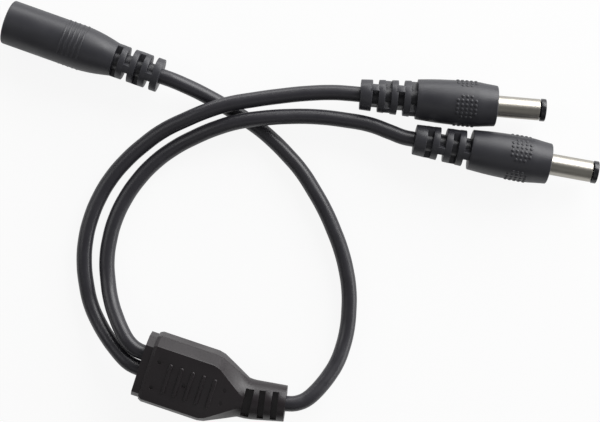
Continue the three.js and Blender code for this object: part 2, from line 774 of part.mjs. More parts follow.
// Slots across the top and underside of the strain relief, which leave a neck and a rail on each side
function reliefSlots() {
  const neck = reliefRod(reliefNeckRadius, -overcut, reliefEndLength + overcut, boreFacets);
  const slots = [];
  let start = slotStart;
  for (const width of slotWidths) {
    const [centre] = alongRelief(start + width / 2, [[0, 0]]);
    const bend = THREE.MathUtils.clamp((start + width / 2) / reliefBendLength, 0, 1) * reliefBendAngle;
    const slot = new THREE.BoxGeometry(width, 2 * slotHalfSpan, 4 * taperEndRadius)
      .rotateZ(bend)
      .translate(centre.x, centre.y, centre.z);
    slots.push(solid(slot).subtract(neck));
    start += width + slotRibWidth;
  }
  return slots;
}

// Small round marks that the mould's locating pins leave in both flats
function pinMarks() {
  const marks = [];
  const rows = [pinMarkInset, barStart + barPitch * 1.5, barStart + barPitch * (barCount - 0.5)];
  for (const x of rows) {
    for (const y of [-pinMarkSpread, pinMarkSpread]) {
      const length = 2 * pinMarkDepth;
      for (const side of [1, -1]) {
        const mark = new THREE.CylinderGeometry(pinMarkRadius, pinMarkRadius, length, 8)
          .rotateX(Math.PI / 2)
          .translate(x, y, side * blockHalfHeight);
        marks.push(solid(mark));
      }
    }
  }
  return marks;
}

const branchSides = { branch_a: -1, branch_b: 1 };
const poles = { red: 1, black: -1 };

// Pocket for the inner mould, two bores for the branches' cores and one along the relief for the trunk's
function junctionHollows() {
  const halfWidth = innerMouldHalfWidth + seatGap;
  const halfHeight = innerMouldHalfHeight + seatGap;
  const pocket = box([blockEndWall, -halfWidth, -halfHeight], [pocketEnd, halfWidth, halfHeight]);
  const entries = Object.values(branchSides).map((side) => {
    const bore = new THREE.CylinderGeometry(coreBoreRadius, coreBoreRadius, blockEndWall + 2 * overcut, boreFacets)
      .rotateZ(Math.PI / 2)
      .translate(blockEndWall / 2, branchOffset + side * branchSpacing / 2, 0);
    return solid(bore);
  });
  const exit = reliefRod(coreBoreRadius, pocketEnd - overcut - blockEnd, reliefEndLength + overcut, boreFacets);
  return [pocket, ...entries, exit];
}

function innerMould() {
  const length = innerMouldLength;
  const blank = box(
    [innerMouldStart, -innerMouldHalfWidth, -innerMouldHalfHeight],
    [innerMouldStart + length, innerMouldHalfWidth, innerMouldHalfHeight],
  );
  const channels = Object.values(poles).map((up) => {
    const channel = new THREE.CylinderGeometry(channelRadius, channelRadius, length + 2 * overcut, boreFacets)
      .rotateZ(Math.PI / 2)
      .translate(innerMouldStart + length / 2, branchOffset, up * channelHeight);
    return solid(channel);
  });
  return cut(blank, channels);
}

// Crimped sleeve that joins one pole of the trunk to both branches
function splice(up) {
  const radius = channelRadius - seatGap;
  const waist = radius - spliceWaist;
  const at = (share) => spliceStart + share * spliceLength;
  const sleeve = turned([
    [at(0), 0],
    [at(0), waist],
    [at(0.08), radius],
    [at(0.2), radius],
    [at(0.3), waist],
    [at(0.4), radius],
    [at(0.6), radius],
    [at(0.7), waist],
    [at(0.8), radius],
    [at(0.92), radius],
    [at(1), waist],
    [at(1), 0],
  ], boreFacets);
  return sleeve.translate([0, branchOffset, up * channelHeight]);
}

function junctionPieces() {
  const pieces = [
    piece('junction_overmould', junctionOvermould(), finishes.junctionMould),
    piece('junction_inner_mould', innerMould(), finishes.innerMould),
  ];
  for (const [pole, up] of Object.entries(poles)) {
    const finish = pole === 'red' ? finishes.redCore : finishes.blackCore;
    pieces.push(piece(`junction_${pole}_splice`, splice(up), finishes.brass));
    for (const [branch, side] of Object.entries(branchSides)) {
      const entry = branchOffset + side * branchSpacing / 2;
      const seat = branchOffset + side * coreOffset;
      pieces.push(core(`junction_${branch}_${pole}_core`, finish, [
        [0, entry, up * coreOffset],
        [blockEndWall, entry, up * coreOffset],
        [innerMouldStart, seat, up * channelHeight],
        [spliceStart - seatGap, seat, up * channelHeight],
      ]));
    }
    const inRelief = (distance) => alongRelief(distance, [[0, up * coreOffset]])[0].toArray();
    pieces.push(core(`junction_trunk_${pole}_core`, finish, [
      inRelief(reliefEndLength),
      inRelief(reliefBendLength),
      inRelief(0),
      [pocketEnd + coreDiameter, 0, up * coreOffset],
      [pocketEnd, 0, up * coreOffset],
      [pocketEnd - splayLength, branchOffset, up * channelHeight],
      [spliceStart + spliceLength + seatGap, branchOffset, up * channelHeight],
    ]));
  }
  return pieces;
}

function cord(name) {
  const points = routes[name].map((point) => new THREE.Vector3(...point));
  return piece(name, sweptTube(points, cordDiameter / 2, cordSides, cordStep), finishes.cord);
}

const cable = new THREE.Group();
cable.add(placed(jackPlace, jackAxisHeight, jackPieces()));
for (const [name, place] of Object.entries(plugPlaces)) {
  cable.add(placed(place, plugAxisHeight, plugPieces(name)));
}
cable.add(placed(junctionPlace, junctionAxisHeight, junctionPieces()));
cable.add(...Object.keys(routes).map(cord));

export default cable;
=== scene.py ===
import json
import math
import bpy
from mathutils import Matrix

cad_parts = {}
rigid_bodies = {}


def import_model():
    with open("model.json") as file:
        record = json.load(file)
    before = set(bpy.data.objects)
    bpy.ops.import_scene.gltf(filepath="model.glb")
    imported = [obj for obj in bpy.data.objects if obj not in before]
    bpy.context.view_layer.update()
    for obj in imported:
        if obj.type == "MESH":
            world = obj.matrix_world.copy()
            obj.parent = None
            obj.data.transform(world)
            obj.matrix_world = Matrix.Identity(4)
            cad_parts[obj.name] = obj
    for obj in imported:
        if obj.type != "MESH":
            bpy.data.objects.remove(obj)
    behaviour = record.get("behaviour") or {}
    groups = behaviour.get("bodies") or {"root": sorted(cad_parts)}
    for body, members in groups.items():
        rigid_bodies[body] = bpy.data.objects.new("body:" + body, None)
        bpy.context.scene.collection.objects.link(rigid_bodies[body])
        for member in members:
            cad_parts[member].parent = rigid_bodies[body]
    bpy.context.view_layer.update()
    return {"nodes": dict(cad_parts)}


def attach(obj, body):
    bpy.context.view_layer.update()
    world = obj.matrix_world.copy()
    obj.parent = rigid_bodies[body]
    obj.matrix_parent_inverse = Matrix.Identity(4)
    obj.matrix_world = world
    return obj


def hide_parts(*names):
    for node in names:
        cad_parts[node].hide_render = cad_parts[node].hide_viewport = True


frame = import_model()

print("frame loaded:", len(frame["nodes"]), "nodes")


# camera, straight above the lying cable

cameraSettings = {
    "height": 0.396,  # metres above the surface
    "lens": 91.05,
    "sensorWidth": 36.0,
    "clipStart": 0.01,
}


def makeCamera(settings):
    bpy.ops.object.camera_add(location=(0, 0, settings["height"]), rotation=(0, 0, 0))
    camera = bpy.context.object
    camera.name = "camera"
    camera.data.lens = settings["lens"]
    camera.data.sensor_width = settings["sensorWidth"]
    camera.data.clip_start = settings["clipStart"]
    bpy.context.scene.camera = camera


makeCamera(cameraSettings)
print("camera set")


# materials

def linearColour(hexText):
    # sRGB hex to the linear colour that the shader wants
    parts = [int(hexText[i:i + 2], 16) / 255 for i in (1, 3, 5)]
    return tuple(p / 12.92 if p <= 0.04045 else ((p + 0.055) / 1.055) ** 2.4 for p in parts) + (1,)


def addNode(tree, kind, settings=None, links=None):
    # settings hold the node's properties and input values, links hold what feeds its inputs
    node = tree.nodes.new(kind)
    for key, value in (settings or {}).items():
        if isinstance(key, str) and key.islower():
            setattr(node, key, value)
        else:
            node.inputs[key].default_value = value
    for key, source in (links or {}).items():
        tree.links.new(source, node.inputs[key])
    return node


def perMetre(sizeInMm):
    # texture scale that makes one pattern cell this many millimetres
    return 1000 / sizeInMm


def startMaterial(name, shaderSettings):
    material = bpy.data.materials.new(name)
    material.use_nodes = True
    tree = material.node_tree
    tree.nodes.clear()
    shader = addNode(tree, "ShaderNodeBsdfPrincipled", shaderSettings)
    addNode(tree, "ShaderNodeOutputMaterial", links={"Surface": shader.outputs["BSDF"]})
    return material, tree, shader


def addNoise(tree, where, scale, detail, roughness=0.5):
    settings = {"Scale": scale, "Detail": detail, "Roughness": roughness}
    return addNode(tree, "ShaderNodeTexNoise", settings, {"Vector": where}).outputs["Fac"]


def wireSurface(tree, shader, look, patches, wear, bumps, bumpStrength):
    # the patches blend the two colours, the wear sets the roughness and the bumps lift the surface
    smooth, rough = look["roughness"]
    tone = addNode(tree, "ShaderNodeMix", {
        "data_type": "RGBA", 6: linearColour(look["colour"]), 7: linearColour(look["patchColour"]),
    }, {"Factor": patches})
    gloss = addNode(tree, "ShaderNodeMapRange", {
        "From Min": 0.3, "From Max": 0.7, "To Min": smooth, "To Max": rough,
    }, {"Value": wear})
    relief = addNode(tree, "ShaderNodeBump", {
        "Strength": bumpStrength, "Distance": look["bumpDepth"],
    }, {"Height": bumps})
    tree.links.new(tone.outputs[2], shader.inputs["Base Color"])
    tree.links.new(gloss.outputs["Result"], shader.inputs["Roughness"])
    tree.links.new(relief.outputs["Normal"], shader.inputs["Normal"])


mouldedPvc = {
    # soft PVC from a spark-eroded mould: satin, finely grained, a little uneven in tone
    "colour": "#2c2c31",
    "patchColour": "#333338",
    "roughness": (0.36, 0.5),
    "grainSize": 0.45,  # real grain is about 0.05 mm, drawn coarser so that it shows
    "patchSize": 6.0,
    "bumpDepth": 0.000012,
}
shadedBlockPvc = {
    # the same PVC as the other mouldings, drawn darker over the whole junction moulding as painted
    # shade for its flats, which lie tilted away from the light
    "colour": "#191417",
    "patchColour": "#20191d",
    "roughness": (0.34, 0.48),
    "grainSize": 0.5,
    "patchSize": 8.0,
    "bumpDepth": 0.000014,
}
jacketPvc = {
    # extruded cable jacket: smoother than the mouldings, with a soft sheen
    "colour": "#27262b",
    "patchColour": "#2e2d32",
    "roughness": (0.32, 0.42),
    "grainSize": 0.8,
    "patchSize": 5.0,
    "bumpDepth": 0.000006,
}
blackNylon = {
    # hard moulded nylon of the tip ring and the socket body: black and glossier
    "colour": "#17171b",
    "patchColour": "#1c1c21",
    "roughness": (0.2, 0.3),
    "grainSize": 0.6,
    "patchSize": 3.0,
    "bumpDepth": 0.000004,
}
paleNylon = {
    # natural off-white nylon of the hidden inner block
    "colour": "#c9c5b8",
    "patchColour": "#d2cec2",
    "roughness": (0.4, 0.55),
    "grainSize": 0.6,
    "patchSize": 4.0,
    "bumpDepth": 0.00001,
}
redPvc = {
    # red wire insulation
    "colour": "#a82020",
    "patchColour": "#b22a26",
    "roughness": (0.35, 0.45),
    "grainSize": 0.5,
    "patchSize": 3.0,
    "bumpDepth": 0.000005,
}
blackPvc = {
    # black wire insulation
    "colour": "#1c1c1e",
    "patchColour": "#232326",
    "roughness": (0.35, 0.45),
    "grainSize": 0.5,
    "patchSize": 3.0,
    "bumpDepth": 0.000005,
}


def makePlastic(name, look):
    material, tree, shader = startMaterial(name, {"IOR": 1.53})
    where = addNode(tree, "ShaderNodeTexCoord").outputs["Object"]
    patches = addNoise(tree, where, perMetre(look["patchSize"]), detail=3, roughness=0.55)
    grain = addNoise(tree, where, perMetre(look["grainSize"]), detail=2, roughness=0.6)
    wireSurface(tree, shader, look, patches, patches, grain, bumpStrength=0.6)
    return material


nickelPlate = {
    # satin-bright nickel over drawn brass, with faint turning marks round the barrel
    "colour": "#b2afa8",
    "patchColour": "#a5a198",
    "roughness": (0.33, 0.37),
    "markPitch": 0.5,  # real marks are under 0.05 mm apart, drawn coarser so that they show
    "markRepeat": 60,  # marks per metre round the barrel, few so that each runs long
    "patchSize": 2.5,
    "bumpDepth": 0.0000004,
}
drawnBrass = {
    # plain brass of the slotted contact and the splices
    "colour": "#c79a4b",
    "patchColour": "#a87c38",
    "roughness": (0.25, 0.4),
    "markPitch": 0.5,
    "markRepeat": 60,
    "patchSize": 1.5,
    "bumpDepth": 0.000004,
}


def makeTurnedMetal(name, look, heading):
    # the marks run round the turning axis, which points along the heading
    material, tree, shader = startMaterial(name, {"Metallic": 1.0})
    where = addNode(tree, "ShaderNodeTexCoord").outputs["Object"]
    along = addNode(
        tree, "ShaderNodeMapping", {"Rotation": (0, 0, -math.radians(heading))}, {"Vector": where},
    ).outputs["Vector"]
    stretch = (perMetre(look["markPitch"]), look["markRepeat"], look["markRepeat"])
    stretched = addNode(
        tree, "ShaderNodeMapping", {"Scale": stretch}, {"Vector": along},
    ).outputs["Vector"]
    marks = addNoise(tree, stretched, 1.0, detail=4, roughness=0.65)
    patches = addNoise(tree, where, perMetre(look["patchSize"]), detail=4)
    wireSurface(tree, shader, look, patches, marks, marks, bumpStrength=0.5)
    return material


# where each moulding lies: cord face in mm, heading and roll in degrees
places = {
    "jack": {"at": (-35.8, 34.7, 5.95), "heading": 160.4, "roll": 20},
    "plug_a": {"at": (15.45, 29.95, 6.0), "heading": -4.9, "roll": 14},
    "plug_b": {"at": (29.4, 18.4, 6.0), "heading": -10.3, "roll": -20},
    "junction": {"at": (-40.6, -38.9, 7.037), "heading": -18.6, "roll": 11},
}

materials = {
    "mould": makePlastic("moulded_pvc_satin", mouldedPvc),
    "junction_mould": makePlastic("block_pvc_satin", shadedBlockPvc),
    "cord": makePlastic("cable_jacket_pvc", jacketPvc),
    "housing": makePlastic("black_nylon_gloss", blackNylon),
    "inner_mould": makePlastic("natural_nylon_plain", paleNylon),
    "red_core": makePlastic("red_pvc_insulation", redPvc),
    "black_core": makePlastic("black_pvc_insulation", blackPvc),
}
nickel = {
    name: makeTurnedMetal("nickel_plate_" + name, nickelPlate, places[name]["heading"])
    for name in ("jack", "plug_a", "plug_b")
}
brass = {
    name: makeTurnedMetal("drawn_brass_" + name, drawnBrass, places[name]["heading"])
    for name in ("plug_a", "plug_b", "junction")
}
print("materials made")


# modelling steps shared by the pieces, all in millimetres at the origin

smoothAngle = math.radians(32)  # flatter edges than this are shaded smooth


def clearSelection():
    for item in bpy.context.view_layer.objects:
        item.select_set(False)


def makeActive(piece):
    clearSelection()
    piece.select_set(True)
    bpy.context.view_layer.objects.active = piece


def startPiece(name):
    # names the primitive that was just added, and takes its own turn and place into its mesh
    piece = bpy.context.object
    piece.name = name
    piece.data.name = name
    makeActive(piece)
    bpy.ops.object.transform_apply(location=True, rotation=True, scale=True)
    return piece


def turnPiece(name, stations, sides=96, closed=False):
    # a circle across X, extruded from station to station and scaled to each radius
    clearSelection()
    x, radius = stations[0]
    bpy.ops.mesh.primitive_circle_add(
        vertices=sides, radius=radius, fill_type="NOTHING" if closed else "NGON",
        location=(x, 0, 0), rotation=(0, math.pi / 2, 0),
    )
    piece = startPiece(name)
    bpy.ops.object.mode_set(mode="EDIT")
    bpy.ops.mesh.select_all(action="SELECT")
    for nextX, nextRadius in stations[1:]:
        bpy.ops.mesh.extrude_region_move(TRANSFORM_OT_translate={"value": (nextX - x, 0, 0)})
        share = nextRadius / radius
        bpy.ops.transform.resize(value=(1, share, share), center_override=(nextX, 0, 0))
        x, radius = nextX, nextRadius
    bpy.ops.mesh.select_all(action="SELECT")
    bpy.ops.mesh.remove_doubles(threshold=0.0005)
    bpy.ops.mesh.normals_make_consistent(inside=False)
    bpy.ops.object.mode_set(mode="OBJECT")
    return piece


def smoothStations(stations, steps=5):
    # more stations on a smooth line through the given ones
    last = len(stations) - 1
    slopes = []
    for i in range(last + 1):
        before, after = stations[max(i - 1, 0)], stations[min(i + 1, last)]
        slopes.append((after[1] - before[1]) / (after[0] - before[0]))
    line = []
    for i in range(last):
        (x0, r0), (x1, r1) = stations[i], stations[i + 1]
        span = x1 - x0
        for step in range(steps):
            t = step / steps
            radius = (
                (2 * t ** 3 - 3 * t ** 2 + 1) * r0 + (t ** 3 - 2 * t ** 2 + t) * span * slopes[i]
                + (3 * t ** 2 - 2 * t ** 3) * r1 + (t ** 3 - t ** 2) * span * slopes[i + 1]
            )
            line.append((x0 + t * span, radius))
    return line + [stations[last]]


def roundedFront(front, radius, edge, steps=5):
    # stations of a quarter circle from the outside of a turned body to its flat front
    turns = [step / steps * math.pi / 2 for step in range(steps + 1)]
    x, r = front - edge, radius - edge
    return [(x + edge * math.sin(turn), r + edge * math.cos(turn)) for turn in turns]


def roundEdges(piece, width, angle=35, segments=3):
    makeActive(piece)
    bevel = piece.modifiers.new("edges", "BEVEL")
    bevel.width = width
    bevel.segments = segments
    bevel.limit_method = "ANGLE"
    bevel.angle_limit = math.radians(angle)
    bpy.ops.object.modifier_apply(modifier="edges")


def boxPiece(name, low, high, edge=0):
    clearSelection()
    size = [b - a for a, b in zip(low, high)]
    middle = [(a + b) / 2 for a, b in zip(low, high)]
    bpy.ops.mesh.primitive_cube_add(size=1, location=middle)
    bpy.context.object.scale = size
    piece = startPiece(name)
    if edge:
        roundEdges(piece, edge, segments=2)
    return piece


def turnAboutX(piece, angle):
    makeActive(piece)
    piece.rotation_euler = (angle, 0, 0)
    bpy.ops.object.transform_apply(location=True, rotation=True, scale=True)


def copyPiece(piece, name):
    makeActive(piece)
    bpy.ops.object.duplicate()
    twin = bpy.context.object
    twin.name = name
    twin.data.name = name
    return twin


def joinPieces(name, pieces):
    clearSelection()
    for piece in pieces:
        piece.select_set(True)
    bpy.context.view_layer.objects.active = pieces[0]
    bpy.ops.object.join()
    pieces[0].name = name
    pieces[0].data.name = name
    return pieces[0]


def cutPiece(piece, cutter):
    makeActive(piece)
    cut = piece.modifiers.new("cut", "BOOLEAN")
    cut.operation = "DIFFERENCE"
    cut.solver = "EXACT"
    cut.object = cutter
    bpy.ops.object.modifier_apply(modifier="cut")
    bpy.data.objects.remove(cutter)


def finishPiece(piece, place, material, slotName, *nodes):
    # scales to metres, rolls, turns and sets the piece in place, and takes all of it into the mesh
    makeActive(piece)
    bpy.ops.object.shade_smooth_by_angle(angle=smoothAngle)
    piece.scale = (0.001, 0.001, 0.001)
    piece.rotation_euler = (math.radians(place["roll"]), 0, math.radians(place["heading"]))
    piece.location = [v / 1000 for v in place["at"]]
    bpy.ops.object.transform_apply(location=True, rotation=True, scale=True)
    piece.data.materials.clear()
    piece.data.materials.append(material)
    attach(piece, "root")
    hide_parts(*nodes)


# cords, along the routes of the part's source: routes in millimetres, the rest in metres

cordSettings = {
    "diameter": 0.004,
    "reachIn": 0.0012,  # how far a cord runs on into the moulding at each end
    "sideSteps": 8,
    "bendSteps": 10,
    "trunk_cord": {
        "length": 0.1145,
        "route": [
            (-35.45, 34.57, 5.95), (-32.8, 33.63, 5.85), (-29.6, 32.3, 5.2), (-26.9, 31.1, 4.3),
            (-24.1, 29.7, 3.3), (-20.4, 27.7, 2.4), (-15.6, 24.8, 2.1), (-11, 21.7, 2.1),
            (-7.4, 18.7, 2.1), (-3.4, 14.7, 2.1), (0.3, 10.4, 2.1), (3.6, 5.3, 2.1),
            (6.5, 0.1, 2.1), (8.8, -5.1, 2.1), (10.7, -10.3, 2.1), (12, -15.5, 2.1),
            (12.7, -20.6, 2.1), (12.7, -25.7, 2.1), (12.2, -30.7, 2.2), (11.1, -35.2, 2.8),
            (9.5, -39.2, 3.9), (7.6, -42.2, 4.9), (5.5, -44.8, 5.9), (3.6, -46.75, 6.6),
            (2.35, -47.8, 6.9), (1.05, -48.6, 7.1), (-0.35, -49.1, 7.3), (-1.8, -49.35, 7.4),
            (-3.2, -49.33, 7.4),
        ],
    },
    "branch_a_cord": {
        "length": 0.1267,
        "route": [
            (-41.49, -40.21, 6.74), (-42.87, -39.6, 6.68), (-44.15, -38.8, 6.45),
            (-45.5, -37.6, 6), (-47.5, -35.4, 5.2), (-49.4, -33, 4.4), (-52, -29, 3.1),
            (-54.2, -24.3, 2.25), (-55.4, -19.2, 2.1), (-56, -13.2, 2.1), (-55.6, -7.4, 2.1),
            (-54.3, -2, 2.1), (-52.1, 3.4, 2.1), (-49.1, 8.4, 2.1), (-45.2, 13, 2.2),
            (-40.7, 17, 2.7), (-35.4, 20.7, 3.9), (-29.2, 23.6, 5.5), (-23.9, 25.7, 6.6),
            (-18.7, 27.3, 6.9), (-11.5, 28.6, 6.6), (-5.1, 29.5, 6.2), (1.5, 30.2, 5.9),
            (8.5, 30.45, 5.9), (12.5, 30.22, 6), (15.08, 29.98, 6),
        ],
    },
    "branch_b_cord": {
        "length": 0.1273,
        "route": [
            (-40.16, -36.2, 7.56), (-41.42, -35.64, 7.6), (-42.6, -34.85, 7.6),
            (-43.6, -33.9, 7.5), (-44.5, -32.75, 7.3), (-45.8, -30.5, 6.7), (-47, -28, 5.8),
            (-48.8, -23.2, 3.9), (-49.8, -17.9, 2.5), (-50.1, -12.7, 2.1), (-49.4, -7.4, 2.1),
            (-47.9, -2.1, 2.1), (-45.3, 3.3, 2.1), (-42.2, 7.8, 2.1), (-38.1, 12.2, 2.2),
            (-32.9, 16.1, 2.8), (-27.1, 19.1, 4.2), (-20.7, 21.6, 5.8), (-15.4, 23, 6.5),
            (-9.8, 23.8, 6.5), (-2.6, 24.3, 6), (4.6, 24.2, 5.7), (11.6, 23.4, 5.6),
            (18, 22.2, 5.7), (23.4, 20.2, 5.9), (26.6, 18.97, 6), (29.04, 18.46, 6),
        ],
    },
}


def makeCord(name, settings):
    points = [tuple(v / 1000 for v in point) for point in settings[name]["route"]]
    ends = []
    for end, inner in ((points[0], points[1]), (points[-1], points[-2])):
        gap = math.dist(end, inner)
        ends.append(tuple(e + (e - i) * settings["reachIn"] / gap for e, i in zip(end, inner)))
    points = [ends[0]] + points + [ends[1]]
    data = bpy.data.curves.new(name + "_jacket", "CURVE")
    data.dimensions = "3D"
    data.bevel_depth = settings["diameter"] / 2
    data.bevel_resolution = settings["sideSteps"]
    data.resolution_u = settings["bendSteps"]
    data.use_fill_caps = True
    spline = data.splines.new("BEZIER")
    spline.bezier_points.add(len(points) - 1)
    for bend, point in zip(spline.bezier_points, points):
        bend.co = point
        bend.handle_left_type = "AUTO"
        bend.handle_right_type = "AUTO"
    piece = bpy.data.objects.new(name + "_jacket", data)
    bpy.context.scene.collection.objects.link(piece)
    data.materials.append(materials["cord"])
    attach(piece, "root")
    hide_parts(name)


for cordName in ("trunk_cord", "branch_a_cord", "branch_b_cord"):
    makeCord(cordName, cordSettings)
print("cords laid")


# segmented strain relief, shared by the jack and the plugs

reliefSettings = {
    "neckRadius": 2.4,
    "neckStart": 0.4,
    "neckSides": 48,
    "bodyReach": 0.5,  # how far the neck runs on into the body
    "webThickness": 2.0,
    "webRecess": 0.04,
    "webReach": 0.4,  # how far a web runs on into the ring on each side
    "webAngle": math.radians(42),
    "gaps": 4,
    "ringEdge": 0.16,
    "webEdge": 0.1,
}


def makeRelief(name, shape, settings):
    # end ring, free rings, a neck through them and a web across each gap,
    # turned a quarter on from gap to gap
    gap, ring = shape["gapWidth"], shape["ringWidth"]
    length = shape["endRing"] + settings["gaps"] * gap + (settings["gaps"] - 1) * ring
    neck, half, into = settings["neckRadius"], settings["webThickness"] / 2, settings["webReach"]

    def radiusAt(x):
        return shape["endRadius"] + (shape["bodyRadius"] - shape["endRadius"]) * x / length

    neckEnds = [(settings["neckStart"], neck), (length + settings["bodyReach"], neck)]
    parts = [turnPiece(name + "_neck", neckEnds, settings["neckSides"])]
    start = 0
    for i in range(settings["gaps"]):
        end = start + (shape["endRing"] if i == 0 else ring)
        collar = turnPiece(name + "_ring", [(start, radiusAt(start)), (end, radiusAt(end))])
        roundEdges(collar, settings["ringEdge"])
        reach = radiusAt(end + gap / 2) - settings["webRecess"]
        webLow, webHigh = (end - into, -half, -reach), (end + gap + into, half, reach)
        web = boxPiece(name + "_web", webLow, webHigh, settings["webEdge"])
        turnAboutX(web, -settings["webAngle"] + i * math.pi / 2)
        parts += [collar, web]
        start = end + gap
    return parts, length


# inline jack

jackSettings = {
    "endRing": 1.9,
    "ringWidth": 1.6,
    "gapWidth": 1.45,
    "endRadius": 4.35,
    "bodyRadius": 4.35,
    "radius": 5.75,
    "bodyLength": 29.1,
    # distance past the relief and radius
    "shoulder": [(0, 4.35), (2, 4.8), (4, 5.2), (6, 5.5), (8, 5.69), (9.8, 5.75)],
    "sides": 128,
    "frontEdge": 0.5,
    "rearEdge": 0.12,
    "housingRadius": 4.3,
    "housingLength": 15,
    "housingEdge": 0.15,
    "seatGap": 0.3,
    "ridges": 5,
    "ridgePitch": 1.25,
    "ridgeWidth": 0.6,
    "ridgeHeight": 0.2,
    "ridgeStart": 15.1,  # first ridge's front, back from the jack's front
    "ridgeHalfAngle": 1.0,  # radians to each side of the top and the bottom
    "socketRadius": 3.05,
    "socketDepth": 10,
    "pinRadius": 1,
    "pinSides": 48,
    "pinRecess": 1.2,
    # distance back from the pin's end and radius
    "pinTip": [(0.8, 1), (0.35, 0.85), (0.08, 0.55), (0, 0.2)],
    "pinFlange": (1.6, 0.6),  # radius and thickness
    "tail": (0.6, 2.5),  # radius and length
    "springTop": -3.05,
    "springThickness": 0.3,
    "springWidth": 2,
    "springBow": 0.6,
    "springFrontWall": 1.4,
    "channelRunOut": 1,  # how far the spring's channel is cut past the housing's rear
}


def makeRidges(settings, front):
    # thin hoops sunk halfway into the body, kept only on the upper and the lower side
    ridges = []
    width = settings["ridgeWidth"]
    for i in range(settings["ridges"]):
        x = front - settings["ridgeStart"] - width / 2 - i * settings["ridgePitch"]
        clearSelection()
        bpy.ops.mesh.primitive_torus_add(
            major_radius=settings["radius"], minor_radius=settings["ridgeHeight"],
            major_segments=96, minor_segments=10, location=(x, 0, 0), rotation=(0, math.pi / 2, 0),
        )
        ridge = startPiece("jack_ridge")
        for vertex in ridge.data.vertices:
            vertex.co.x = x + (vertex.co.x - x) * width / 2 / settings["ridgeHeight"]
        bpy.ops.object.mode_set(mode="EDIT")
        bpy.ops.mesh.select_all(action="DESELECT")
        bpy.ops.object.mode_set(mode="OBJECT")
        for vertex in ridge.data.vertices:
            angle = abs(math.atan2(vertex.co.y, abs(vertex.co.z)))
            vertex.select = angle > settings["ridgeHalfAngle"]
        bpy.ops.object.mode_set(mode="EDIT")
        bpy.ops.mesh.delete(type="VERT")
        bpy.ops.mesh.select_all(action="SELECT")
        bpy.ops.mesh.fill_holes(sides=0)
        bpy.ops.object.mode_set(mode="OBJECT")
        ridges.append(ridge)
    return ridges


def makeJack(settings, place):
    parts, reliefLength = makeRelief("jack", settings, reliefSettings)
    front = reliefLength + settings["bodyLength"]
    radius, edge = settings["radius"], settings["frontEdge"]
    seat = settings["housingRadius"] + settings["seatGap"]
    shoulder = [(reliefLength + x, r) for x, r in settings["shoulder"]]
    body = turnPiece("jack_body", smoothStations(shoulder) + roundedFront(front, radius, edge) + [
        (front, seat),
        (front - settings["housingLength"] - settings["seatGap"], seat),
    ], settings["sides"])
    roundEdges(body, settings["rearEdge"])
    overmould = joinPieces("jack_moulding", [body] + parts + makeRidges(settings, front))
    finishPiece(overmould, place, materials["mould"], "mould", "jack_overmould")

    floor = front - settings["socketDepth"]
    rear = front - settings["housingLength"]
    tailRadius, tailLength = settings["tail"]
    hole = tailRadius + settings["seatGap"]
    housing = turnPiece("jack_socket", [
        (rear, hole),
        (rear, settings["housingRadius"]),
        (front, settings["housingRadius"]),
        (front, settings["socketRadius"]),
        (floor, settings["socketRadius"]),
        (floor, hole),
        (rear, hole),
    ], closed=True)
    base = settings["springTop"] - settings["springThickness"]
    half = settings["springWidth"] / 2 + settings["seatGap"]
    roof = settings["springTop"] + settings["springBow"] + settings["seatGap"]
    channelLow = (rear - settings["channelRunOut"], -half, base - settings["seatGap"])
    channelHigh = (front - settings["springFrontWall"], half, roof)
    cutPiece(housing, boxPiece("channel", channelLow, channelHigh))
    roundEdges(housing, settings["housingEdge"], segments=2)
    finishPiece(housing, place, materials["housing"], "housing", "jack_housing")

    pinRadius = settings["pinRadius"]
    pinEnd = front - settings["pinRecess"]
    flangeRadius, flangeThickness = settings["pinFlange"]
    flange = floor + settings["seatGap"]
    pin = turnPiece("jack_pin", [
        (rear - tailLength, tailRadius),
        (flange, tailRadius),
        (flange, flangeRadius),
        (flange + flangeThickness, flangeRadius),
        (flange + flangeThickness, pinRadius),
    ] + [(pinEnd - back, r) for back, r in settings["pinTip"]], settings["pinSides"])
    finishPiece(pin, place, nickel["jack"], "nickel", "jack_centre_pin")


makeJack(jackSettings, places["jack"])
print("jack made")


# plugs, modelled once and copied

plugSettings = {
    "endRing": 3,
    "ringWidth": 1.7,
    "gapWidth": 1.6,
    "endRadius": 3.9,
    "bodyRadius": 4.75,
    "bodyLength": 20.6,
    "swell": [(0, 5.15), (4.8, 5.55), (9.6, 5.75), (15.4, 5.75), (17.9, 5.48), (20.2, 5.24)],
    "sides": 128,
    "frontEdge": 0.35,
    "rearEdge": 0.15,
    "gripMiddle": 12.5,
    "gripRadius": 5.75,
    "dotPitch": 1.15,
    "dotColumns": 5,
    "dotRows": 6,
    "dotRowAngle": 2 * math.pi / 32,
    "dotSides": 4,
    "dotRadius": 0.45,
    "dotHeight": 0.25,
    "barrelRadius": 2.75,
    "barrelWall": 0.35,
    "barrelReach": 11,
    "barrelEmbed": 8,
    "barrelEdge": 0.12,
    "seatDepth": 2,
    "seatGap": 0.3,
    "flange": (3.7, 0.8),  # radius and thickness
    "tag": (4.5, 2.2, 0.35),  # length, width and thickness
    "tagEdge": 0.1,
    "tipRing": (1.3, 2.9),  # length and radius
    "tipEdge": 0.3,
    "tipHole": 1.3,
    "tipWall": 1.6,
    "insulatorWall": 0.45,
    "contactTail": 0.6,  # radius of the hidden contact's tail
}


